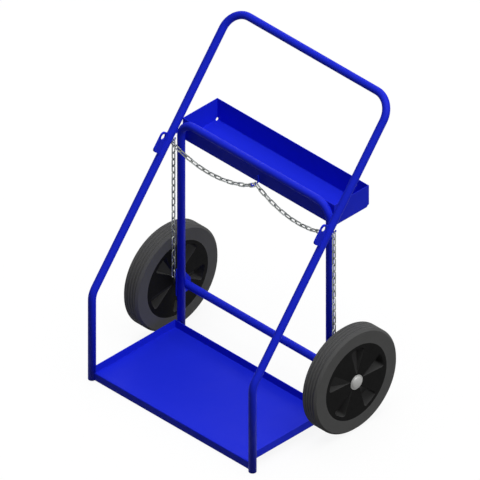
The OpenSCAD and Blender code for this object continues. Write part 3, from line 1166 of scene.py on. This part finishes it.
    def build(self, steel: Material) -> list[Object]:
        """Makes both chains, one piece for each length.

        Args:
            steel: The chains' finish.

        Returns:
            The pieces.
        """
        tree = chain_tree()
        values = {
            "Wire radius": self.wire / 2 * MM, "Length": self.length * MM,
            "Width": (self.width - self.wire) * MM, "Material": steel,
        }
        pieces = []
        for side, end_y in ((Side.LEFT, self.left_end_y), (Side.RIGHT, self.right_end_y)):
            flip = Matrix.Diagonal((side.value, 1, 1))
            for part, (body, links) in self.lengths(end_y).items():
                name = f"{part}_{side.word}"
                mesh = bpy.data.meshes.new(name)
                mesh.from_pydata([flip @ place * MM for place, _ in links], [], [])
                turns = mesh.attributes.new(TURN, "FLOAT_VECTOR", "POINT")
                for item, (_, rotation) in zip(turns.data, links):
                    item.vector = (flip @ rotation @ flip).to_euler("XYZ")
                piece = grow(name + "_links", mesh, tree, values)
                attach(piece, body if body == "frame" else f"{body}_{side.word}")
                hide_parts(name)
                pieces.append(piece)
        return pieces


@dataclass
class Welds:
    """Weld beads at the joints of the frames, under the paint."""

    tubes: Tubework
    radius: float = 1.7
    deck_x: float = 331.65
    deck_rear_y: float = 42.3
    deck_z: Range = (25.3, 54.0)
    axle_z: float = 177.8
    lug_half: float = 3.0
    # Deck to the front leg and to the rear post, with ends from the deck's underside and from its top
    leg_behind: float = 2.5
    leg_ends: Range = (2.0, -1.0)
    post_inside: float = 5.2
    post_behind: float = 1.1
    post_ends: Range = (1.0, 0.0)
    # Lug plate to the arm, with ends up the arm
    lug_ends: Range = (477.5, 543.5)
    lug_sunk: float = 0.6
    lug_beside: float = 0.5
    # Arm to the rear frame in the tubes' valley: shares of their radius, and places from the crossing
    valley_behind: float = 0.72
    valley_inside: float = 0.82
    valley_places: tuple[float, ...] = (-22.0, -14.0, -6.0)
    # Axle plate to the post, with ends from the axle
    plate_outside: float = 0.6
    plate_behind: float = 6.5
    plate_ends: tuple[Range, ...] = ((-37.0, -13.0), (6.0, 30.0))

    def paths(self) -> list[Path]:
        """Lines of the beads.

        Returns:
            Points of each bead in millimetres.
        """
        t = self.tubes
        crossing = (t.post_y - t.leg_y) / math.sin(t.lean)
        lines: list[Path] = []
        for side in Side:
            for x, y, ends in (
                (self.deck_x, t.leg_y + self.leg_behind, self.leg_ends),
                (t.post_x - self.post_inside, self.deck_rear_y + self.post_behind, self.post_ends),
            ):
                lines.append([side.place(x, y, z + end) for z, end in zip(self.deck_z, ends)])
            forward, out = t.radius - self.lug_sunk, self.lug_half + self.lug_beside
            for face in (-1, 1):
                lines.append([t.arm_point(side, end, forward, face * out) for end in self.lug_ends])
            back, inside = -t.radius * self.valley_behind, -t.radius * self.valley_inside
            lines.append([t.arm_point(side, crossing + a, back, inside) for a in self.valley_places])
            x, y = self.deck_x + self.plate_outside, t.post_y + self.plate_behind
            lines += [[side.place(x, y, self.axle_z + end) for end in ends] for ends in self.plate_ends]
        return lines

    def build(self, paint: Material) -> list[Object]:
        """Makes all beads as one piece.

        Args:
            paint: Finish over the beads.

        Returns:
            The piece.
        """
        values = {"Radius": self.radius * MM, "Material": paint}
        piece = grow("weld_beads", path_mesh("weld_beads", self.paths()), bead_tree(), values)
        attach(piece, "frame")
        return [piece]


# Studio


@dataclass(frozen=True)
class Lamp:
    """A broad, soft light.

    towards is the direction from the cart to the light, strength is the brightness of a white surface
    that faces it, and size is the angle across it in degrees.
    """

    name: str
    towards: Point
    strength: float
    size: float
    shadow: bool = True

    def build(self) -> None:
        """Puts the light into the scene."""
        data = bpy.data.lights.new(self.name, "SUN")
        data.energy = self.strength * math.pi
        data.angle = math.radians(self.size)
        data.use_shadow = self.shadow
        light = placed(self.name, data)
        light.rotation_euler = (-Vector(self.towards)).to_track_quat("-Z", "Y").to_euler()


LAMPS: tuple[Lamp, ...] = (
    Lamp("overhead", towards=(0.05, 0.05, 1.0), strength=0.56, size=60.0),
    Lamp("front", towards=(0.7, 0.12, 0.7), strength=0.48, size=30.0, shadow=False),
    Lamp("back", towards=(-0.6, 0.8, 0.15), strength=0.22, size=60.0),
)


def seen(nodes: Nodes) -> NodeSocket:
    """Tells the rays that see a surface from those that light the object by it.

    Args:
        nodes: Nodes of a material or of the world.

    Returns:
        1 for a ray of the camera, of gloss or of glass, and 0 for any other.
    """
    rays = nodes.add("ShaderNodeLightPath").outputs
    largest = nodes.math("MAXIMUM", rays["Is Camera Ray"], rays["Is Glossy Ray"])
    return nodes.math("MAXIMUM", largest, rays["Is Transmission Ray"])


@dataclass
class Studio:
    """Camera, lights and floor.

    Frame and aim are in millimetres, and the other lengths are in metres.
    """

    frame_mm: float = 1456.3
    aim: Point = (0.0, -11.7, 541.8)
    elevation: float = 35.2644
    azimuth: float = 45.0
    distance: float = 6.0
    sky: float = 0.1
    floor_glow: float = 0.86
    floor_bounce: float = 0.1
    floor_half: float = 40.0
    floor_drop: float = 0.0003

    def build(self) -> None:
        """Sets up the whole studio."""
        bpy.context.scene.view_settings.view_transform = "Standard"
        self.add_camera()
        for lamp in LAMPS:
            lamp.build()
        self.add_sky()
        self.add_floor()

    def add_camera(self) -> None:
        """Adds the camera, which looks down at the right front corner without perspective."""
        data = bpy.data.cameras.new("camera")
        data.type = "ORTHO"
        data.ortho_scale = self.frame_mm * MM
        camera = placed("camera", data)
        a, e = math.radians(self.azimuth), math.radians(self.elevation)
        back = Vector((math.sin(a) * math.cos(e), -math.cos(a) * math.cos(e), math.sin(e)))
        camera.location = Vector(self.aim) * MM + back * self.distance
        camera.rotation_euler = (-back).to_track_quat("-Z", "Y").to_euler()
        bpy.context.scene.camera = camera

    def add_sky(self) -> None:
        """Adds even soft light all round, which the camera and glossy metal see as white."""
        world = bpy.data.worlds.new("studio")
        world.use_nodes = True
        nodes = Nodes(world.node_tree)
        strength = nodes.add("ShaderNodeMapRange", Value=seen(nodes), To_Min=self.sky, To_Max=1.0)
        background = world.node_tree.nodes["Background"]
        nodes.feed(background.inputs["Color"], (1, 1, 1, 1))
        nodes.feed(background.inputs["Strength"], strength.outputs["Result"])
        bpy.context.scene.world = world

    def add_floor(self) -> None:
        """Adds a plain white floor that keeps a light shadow and can't be seen from below."""
        mesh = bpy.data.meshes.new("floor")
        half, z = self.floor_half, -self.floor_drop
        corners = [(-half, -half, z), (half, -half, z), (half, half, z), (-half, half, z)]
        mesh.from_pydata(corners, [], [(0, 1, 2, 3)])
        mesh.materials.append(self.floor_material())
        placed("floor", mesh)

    def floor_material(self) -> Material:
        """Makes the floor white to the eye with a light shadow, and a weak reflector for the object.

        Returns:
            The material.
        """
        floor = Shader("floor")
        glow = floor.add("ShaderNodeEmission", Strength=self.floor_glow).outputs[0]
        bright = floor.combine("ShaderNodeAddShader", self.diffuse(floor, 1.0 - self.floor_glow), glow)
        reflector = self.diffuse(floor, self.floor_bounce)
        by_ray = floor.combine("ShaderNodeMixShader", seen(floor), reflector, bright)
        below = floor.add("ShaderNodeNewGeometry").outputs["Backfacing"]
        clear = floor.combine("ShaderNodeBsdfTransparent")
        return floor.finish(floor.combine("ShaderNodeMixShader", below, by_ray, clear))

    @staticmethod
    def diffuse(shader: Shader, level: float) -> NodeSocket:
        """Grey diffuse shader that throws back a share of the light."""
        return shader.combine("ShaderNodeBsdfDiffuse", (level, level, level, 1))


def dress_nodes(materials: dict[Slot, Material]) -> None:
    """Gives every carried-over part the finish of its slot.

    Args:
        materials: Material of each slot.
    """
    for subpart in frame["record"]["subparts"]:
        node = frame["nodes"][subpart["node"]]
        node.data.materials.clear()
        node.data.materials.append(materials[Slot(subpart["material_slot"])])
        LOG.info("dressed %s in %s", node.name, subpart["material_slot"])


def main() -> None:
    """Dresses the cart and sets up the studio."""
    logging.basicConfig(level=logging.INFO, format="%(name)s: %(message)s")
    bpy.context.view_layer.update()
    Studio().build()
    materials = {slot: finish.build(slot.value) for slot, finish in FINISHES.items()}
    dress_nodes(materials)
    tubes = Tubework()
    pieces = tubes.build(materials[Slot.BLUE_PAINT])
    pieces += Welds(tubes).build(materials[Slot.BLUE_PAINT])
    pieces += Tyres().build(materials[Slot.TYRE_RUBBER])
    pieces += AxleCaps().build(materials[Slot.CAP_STEEL])
    pieces += Chains().build(materials[Slot.CHAIN_STEEL])
    for piece in pieces:
        LOG.info("made %s with %d faces", piece.name, len(piece.data.polygons))


if __name__ == "__main__":
    main()
